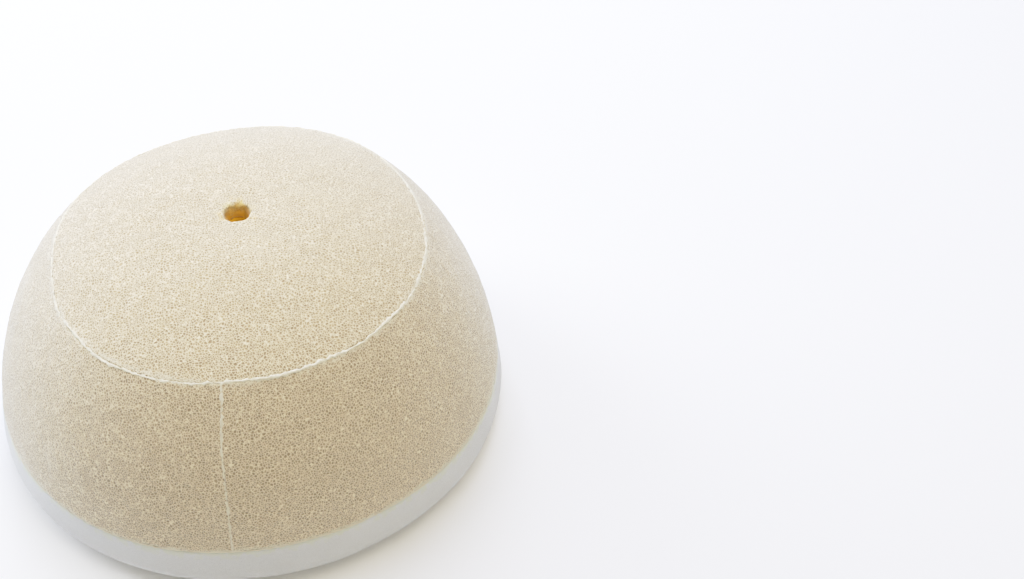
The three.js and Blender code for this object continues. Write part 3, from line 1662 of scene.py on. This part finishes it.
@dataclass(frozen=True)
class SealingRing:
    """The soft ring that the cup stands on, with its wide mouth and rounded lip.

    Lengths are in millimetres.

    Attributes:
        dome: The filter's outer skin.
        forming: How its foam is out of true.
        radius: Its greatest radius.
        widest_height: The height at which it is widest.
        flat_outer: Outer radius of the flat sealing face.
        flat_inner: Inner radius of the flat sealing face.
        mouth: Radius of the mouth.
        mouth_height: The height at which the mouth's edge is narrowest.
        lip_land: Height of the lip's upright stretch.
        lip_top_radius: The radius at which the lip reaches its top.
        top_gap: How far its top lies below the base joint.
        shoulder_gap: How far its shoulder stands out past the base joint.
        shoulder_slope: How far the slope below the shoulder goes out and down.
        shoulder_round: How far the shoulder's rounding goes in and down.
        flats: The mouth's hand-cut flats.
        flats_reach: How far from the mouth's edge they die out.
        waves: The waviness of its sides.
        waves_height: The height above the floor from which it is fully wavy.
        fill: How full the padded ring is.
        grain: Its longest edge.
        steps: Steps in its turn.
    """

    dome: Dome
    forming: HandForming
    radius: float = 91.9
    widest_height: float = 9.5
    flat_outer: float = 81.0
    flat_inner: float = 58.0
    mouth: float = 48.5
    mouth_height: float = 8.0
    lip_land: float = 2.5
    lip_top_radius: float = 55.0
    top_gap: float = 0.3
    shoulder_gap: float = 0.1
    shoulder_slope: tuple[float, float] = (0.6, 3.0)
    shoulder_round: tuple[float, float] = (0.4, 0.3)
    flats: tuple[Lobe, ...] = (Lobe(5, 0.4, 40), Lobe(7, 0.2, 15))
    flats_reach: float = 12.0
    waves: Waves = Waves(22, 0.35, 4)
    waves_height: float = 4.0
    fill: float = 0.8
    grain: float = 1.1
    steps: int = 256

    def quarter(self, centre: Vector, wide: float, high: float, start: float) -> list[Vector]:
        """Walks a quarter of an ellipse.

        Args:
            centre: The ellipse's centre.
            wide: Its half width.
            high: Its half height.
            start: The angle to start at, in right angles.

        Returns:
            The points, both ends included.
        """
        steps = 8
        angles = [(start + i / steps) * math.pi / 2 for i in range(steps + 1)]
        return [centre + Vector((math.cos(a) * wide, math.sin(a) * high)) for a in angles]

    def outline(self) -> list[Vector]:
        """Works out the ring's closed outline.

        Returns:
            The outline, in the radius-height plane.
        """
        top = self.dome.joint_height - self.top_gap
        lip_start = self.mouth_height + self.lip_land
        shoulder = self.dome.joint_radius + self.shoulder_gap
        slope_out, slope_down = self.shoulder_slope
        round_in, round_down = self.shoulder_round
        return [
            *self.quarter(
                Vector((self.flat_outer, self.widest_height)),
                self.radius - self.flat_outer,
                self.widest_height,
                -1,
            ),
            Vector((shoulder + slope_out, top - slope_down)),
            Vector((shoulder, top - round_down)),
            Vector((shoulder - round_in, top)),
            *self.quarter(
                Vector((self.lip_top_radius, lip_start)),
                self.lip_top_radius - self.mouth,
                top - lip_start,
                1,
            ),
            *self.quarter(
                Vector((self.flat_inner, self.mouth_height)),
                self.flat_inner - self.mouth,
                self.mouth_height,
                2,
            ),
        ]

    def soften(self, place: Vector) -> Vector:
        """Gives the foam its slight waviness, and the mouth its hand-cut flats.

        Args:
            place: A place on the ring.

        Returns:
            Its new place.
        """
        radius = math.hypot(place.x, place.y)
        azimuth = math.atan2(place.y, place.x)
        near_mouth = 1 - ease((radius / MM - self.mouth) / self.flats_reach)
        flats = sum(flat.at(azimuth) for flat in self.flats) * near_mouth
        wave = self.waves.at(place) * ease(place.z / MM / self.waves_height)
        moved = radius + (flats + wave) * MM
        return Vector((moved * math.cos(azimuth), moved * math.sin(azimuth), place.z))

    def build(self, foam: bpy.types.Material) -> list[Piece]:
        """Builds and dresses the ring.

        Args:
            foam: Its finish.

        Returns:
            The ring, in a list.
        """
        work = Workpiece()
        work.turn(self.outline(), self.steps)
        work.refine(self.grain, lambda place: True)
        work.shape(self.soften)
        work.shape(self.forming.place)
        ring = Piece(work.finish("sealing_ring_foam"), "sealing_ring", "seal_foam", self.fill)
        ring.dress(foam)
        return [ring]


@dataclass(frozen=True)
class BondRing:
    """The adhesive that ties the two crown panels together round the bolt hole.

    Attributes:
        forming: How the foam round it is out of true.
        inner_share: Its inner radius, as a share of the outer one.
        edge: Size of its bevelled edges, in millimetres.
        squeeze: The unevenness of its edge, as a share of its radius.
        grain: Its longest edge, in millimetres.
        steps: Steps in its turn.
    """

    forming: HandForming
    inner_share: float = 0.55
    edge: float = 0.3
    squeeze: Waves = Waves(5, 0.04, 12)
    grain: float = 0.8
    steps: int = 180

    def build(self, glue: bpy.types.Material) -> list[Piece]:
        """Builds and dresses the bond ring.

        Args:
            glue: Its finish.

        Returns:
            The bond ring, in a list.
        """
        low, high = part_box("bolt_hole_bond_ring")
        outer = high.x / MM
        inner = outer * self.inner_share
        middle = (low.z + high.z) / 2 / MM
        half = (high.z - low.z) / 2 / MM
        outline = [
            Vector((inner, middle)),
            Vector((inner + self.edge, middle - half)),
            Vector((outer - self.edge, middle - half)),
            Vector((outer, middle)),
            Vector((outer - self.edge, middle + half)),
            Vector((inner + self.edge, middle + half)),
        ]
        work = Workpiece()
        work.turn(outline, self.steps)
        work.refine(self.grain, lambda place: True)
        work.shape(self.spread)
        work.shape(self.forming.place)
        bond = Piece(work.finish("bolt_hole_glue"), "bolt_hole_bond_ring", "adhesive")
        bond.dress(glue)
        return [bond]

    def spread(self, place: Vector) -> Vector:
        """Gives the squeezed-out edge of a dab of glue."""
        scale = 1 + self.squeeze.at(place)
        return Vector((place.x * scale, place.y * scale, place.z))


@dataclass(frozen=True)
class AirFilter:
    """The whole filter."""

    dome: Dome
    forming: HandForming = field(default_factory=HandForming)

    def outer_stage(self) -> FoamStage:
        """Sets out the coarse layer.

        Returns:
            The layer, ready to build.
        """
        ring_swells = (
            (0.0, 0.85),
            (0.03, 1.1),
            (0.07, 1.15),
            (0.16, 0.85),
            (0.25, 0.65),
            (0.38, 0.9),
            (0.6, 0.6),
            (0.75, 0.3),
            (0.88, 0.35),
            (0.96, 0.4),
            (0.995, 0.45),
        )
        side_swells = ((0.0, 1.35), (0.3, 1.15), (0.6, 0.95), (BEAD_END, 0.9))
        return FoamStage(
            stage=Stage.OUTER,
            dome=self.dome,
            forming=self.forming,
            top=0.0,
            bottom=6.2,
            hole=4.4,
            grain=0.66,
            foam_slot="coarse_foam",
            glue_slot="adhesive",
            lumps=0.12,
            seed=71,
            ring_bead=Bead(
                width=1.1, proud=0.15, depth=6.0, wander=0.8, ragged=0.65, seed=1, swells=ring_swells
            ),
            side_bead=Bead(
                width=1.1, proud=0.12, depth=6.0, wander=0.6, ragged=0.8, seed=21, swells=side_swells
            ),
            base_bead=Bead(width=1.0, proud=0.04, depth=6.0, wander=0.3, ragged=0.6, seed=33),
        )

    def inner_stage(self) -> FoamStage:
        """Sets out the fine layer.

        Returns:
            The layer, ready to build.
        """
        return FoamStage(
            stage=Stage.INNER,
            dome=self.dome,
            forming=self.forming,
            top=6.5,
            bottom=19.0,
            hole=3.9,
            grain=1.1,
            steps=180,
            foam_slot="fine_foam",
            glue_slot="amber_adhesive",
            lumps=0.2,
            seed=81,
            rim_round=0.3,
            lip=0.25,
            ring_bead=Bead(width=1.1, proud=0.05, depth=12.2, wander=0.3, ragged=0.2, seed=41),
            side_bead=Bead(width=0.9, proud=0.05, depth=12.2, wander=0.3, ragged=0.2, seed=51),
            base_bead=Bead(width=0.8, proud=0.1, depth=12.2, wander=0.1, ragged=0.2, seed=61),
        )

    def build(self) -> list[Piece]:
        """Builds every piece in order.

        Returns:
            The pieces.
        """
        effects = Effects.build()
        tan = coarse_foam(self.dome).make(effects)
        amber = fine_foam(self.dome).make(effects)
        white = seal_foam(self.dome).make(effects)
        glue = seam_glue(self.dome).make(effects)
        soaked = amber_glue().make(effects)
        pieces = self.outer_stage().build(tan, glue)
        pieces += self.inner_stage().build(amber, soaked)
        pieces += BondRing(self.forming).build(glue)
        pieces += SealingRing(self.dome, self.forming).build(white)
        return pieces


# The studio


@dataclass(frozen=True)
class Viewpoint:
    """Where the camera stands and how it is turned, in metres and degrees.

    Attributes:
        distance: How far from the filter's axis it stands.
        height: How high above the floor it stands.
        round_from_seam: How far round from the seam's side it stands.
        turned_right: How far it is turned away from the axis.
        tilted_down: How far it looks down.
        rolled: How far it is rolled.
        lens: Its focal length, in millimetres.
        sensor: Its sensor's width, in millimetres.
        nearest: The nearest distance that it shows.
    """

    distance: float = 0.3295
    height: float = 0.3685
    round_from_seam: float = 10.85
    turned_right: float = 16.46
    tilted_down: float = 44.64
    rolled: float = 3.28
    lens: float = 44.53
    sensor: float = 36.0
    nearest: float = 0.01

    def make(self) -> None:
        """Makes the camera and gives it to the scene."""
        data = bpy.data.cameras.new("camera")
        data.lens = self.lens
        data.sensor_width = self.sensor
        data.clip_start = self.nearest
        camera = bpy.data.objects.new("camera", data)
        round_axis = math.radians(self.round_from_seam)
        heading = Matrix.Rotation(round_axis - math.radians(self.turned_right), 4, "Z")
        tilt = Matrix.Rotation(math.radians(90 - self.tilted_down), 4, "X")
        roll = Matrix.Rotation(math.radians(self.rolled), 4, "Z")
        away = Vector((math.sin(round_axis), -math.cos(round_axis), 0)) * self.distance
        place = Matrix.Translation(away + UP * self.height)
        camera.matrix_world = place @ heading @ tilt @ roll
        bpy.context.scene.collection.objects.link(camera)
        bpy.context.scene.camera = camera


@dataclass(frozen=True)
class Softbox:
    """A square area light that faces the filter.

    Attributes:
        name: Its name.
        azimuth: The azimuth that it shines from, in degrees.
        elevation: How high it stands, in degrees.
        power: Its power, in watts.
        colour: Its colour.
        distance: How far from the target it stands, in metres.
        size: Its width, in metres.
        target: The place that it faces.
    """

    name: str
    azimuth: float
    elevation: float
    power: float
    colour: tuple[float, float, float]
    distance: float = 1.4
    size: float = 0.9
    target: Vector = field(default_factory=lambda: Vector((0, 0, 0.04)))

    def make(self) -> None:
        """Makes the light."""
        data = bpy.data.lights.new(self.name, "AREA")
        data.size = self.size
        data.energy = self.power
        data.color = self.colour
        light = bpy.data.objects.new(self.name, data)
        turn = math.radians(self.azimuth)
        rise = math.radians(self.elevation)
        level = math.cos(rise)
        back = Vector((level * math.cos(turn), level * math.sin(turn), math.sin(rise)))
        light.rotation_euler = back.to_track_quat("Z", "Y").to_euler()
        light.location = self.target + back * self.distance
        bpy.context.scene.collection.objects.link(light)


@dataclass(frozen=True)
class ToneCurve:
    """A film-like curve: straight up to the knee, then easing over to white.

    Attributes:
        knee: Where it starts to bend.
        brightest: The amount of light that comes out white.
        steps: How many steps its bent part is drawn with.
    """

    knee: float = 0.45
    brightest: float = 1.7
    steps: int = 8

    def tone(self, light: float) -> float:
        """Works out how bright an amount of light comes out.

        Args:
            light: The amount of light.

        Returns:
            The brightness, up to 1.
        """
        if light <= self.knee:
            return light
        room = 1 - self.knee
        eased = 1 - room * math.exp((self.knee - light) / room)
        limit = 1 - room * math.exp((self.knee - self.brightest) / room)
        lift = ease((light - 1) / (self.brightest - 1)) * (1 - limit)
        return min(eased + lift, 1.0)

    def apply(self) -> None:
        """Gives the scene this curve."""
        view = bpy.context.scene.view_settings
        view.view_transform = "Standard"
        view.use_curve_mapping = True
        view.curve_mapping.white_level = (self.brightest,) * 3
        combined = 3
        curve = view.curve_mapping.curves[combined]
        start = self.knee / self.brightest
        shares = [start + (1 - start) * i / self.steps for i in range(self.steps + 1)]
        for share in shares[:-1]:
            curve.points.new(share, self.tone(share * self.brightest))
        view.curve_mapping.update()


@dataclass(frozen=True)
class Studio:
    """A pale floor in soft light.

    Attributes:
        floor_size: The floor's width, in metres.
        floor_gap: How far it lies under the filter, in millimetres.
        floor_colour: Its colour.
        floor_roughness: Its roughness.
        floor_glow: Strength of its own light near the filter.
        ambient: Strength of the background's light.
        backdrop: How bright the background is where it is looked at.
        fade: Where the floor starts and ends its fade into the backdrop, in metres.
        softboxes: The lights.
    """

    floor_size: float = 12.0
    floor_gap: float = 0.2
    floor_colour: Colour = (0.95, 0.95, 0.95, 1)
    floor_roughness: float = 0.9
    floor_glow: float = 0.08
    ambient: float = 0.12
    backdrop: float = 1.6
    fade: tuple[float, float] = (0.6, 2.2)
    softboxes: tuple[Softbox, ...] = (
        Softbox("low left", 150, 20, 11.2, (0.94, 1.0, 1.15)),
        Softbox("high left", 160, 55, 6.2, (0.96, 1.0, 1.15)),
        Softbox("high back", 90, 60, 11.2, (0.92, 1.0, 1.28)),
        Softbox("low back", 90, 20, 7.2, (0.92, 1.0, 1.26)),
        Softbox("high right", -5, 74, 7.8, (1.09, 1.0, 0.88)),
        Softbox("high front", -65, 50, 1.8, (1.22, 1.0, 0.45)),
    )

    def background(self) -> bpy.types.World:
        """Makes the background: dim as a light, and pale where it is looked at.

        Returns:
            The background.
        """
        world = bpy.data.worlds.new("soft light")
        world.use_nodes = True
        wiring = Wiring(world.node_tree)
        surface = world.node_tree.nodes["Background"]
        surface.inputs["Color"].default_value = (1, 1, 1, 1)
        looked_at = wiring.add("ShaderNodeLightPath").outputs["Is Camera Ray"]
        strength = wiring.ramp(looked_at, 0.0, 1.0, self.ambient, self.backdrop)
        wiring.feed(surface.inputs["Strength"], strength)
        return world

    def floor_paint(self) -> bpy.types.Material:
        """Makes the floor's finish, which fades into the pale backdrop far from the filter.

        Returns:
            The finish.
        """
        paint = Paint.start("pale floor")
        wiring = paint.wiring
        paint.set(
            Base_Color=self.floor_colour,
            Roughness=self.floor_roughness,
            Emission_Color=self.floor_colour,
        )
        away = wiring.add("ShaderNodeVectorMath", operation="LENGTH")
        wiring.feed(away.inputs[0], paint.place)
        near, far = self.fade
        glow = wiring.ramp(away.outputs["Value"], near, far, self.floor_glow, self.backdrop)
        looked_at = wiring.add("ShaderNodeLightPath").outputs["Is Camera Ray"]
        strength = wiring.ramp(looked_at, 0.0, 1.0, self.floor_glow, glow)
        wiring.feed(paint.shader.inputs["Emission Strength"], strength)
        return paint.material

    def floor(self) -> bpy.types.Object:
        """Makes the floor, a hair's breadth under the filter.

        Returns:
            The floor, not yet linked to the scene.
        """
        sheet = bmesh.new()
        bmesh.ops.create_grid(sheet, x_segments=1, y_segments=1, size=self.floor_size / 2)
        bmesh.ops.translate(sheet, verts=sheet.verts, vec=(0, 0, -self.floor_gap * MM))
        data = bpy.data.meshes.new("floor")
        sheet.to_mesh(data)
        sheet.free()
        data.materials.append(self.floor_paint())
        return bpy.data.objects.new("floor", data)

    def make(self) -> None:
        """Makes the floor, the lights and the background, and sets the tone curve."""
        scene = bpy.context.scene
        ToneCurve().apply()
        scene.world = self.background()
        for softbox in self.softboxes:
            softbox.make()
        floor = self.floor()
        scene.collection.objects.link(floor)


def main() -> None:
    """Builds the filter round its frame."""
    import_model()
    Viewpoint().make()
    for piece in AirFilter(Dome.from_frame()).build():
        LOG.info("%s: %d faces, for %s", piece.body.name, len(piece.body.data.polygons), piece.node)
    Studio().make()


if __name__ == "__main__":
    logging.basicConfig(level=logging.INFO, format="%(name)s: %(message)s")
    main()
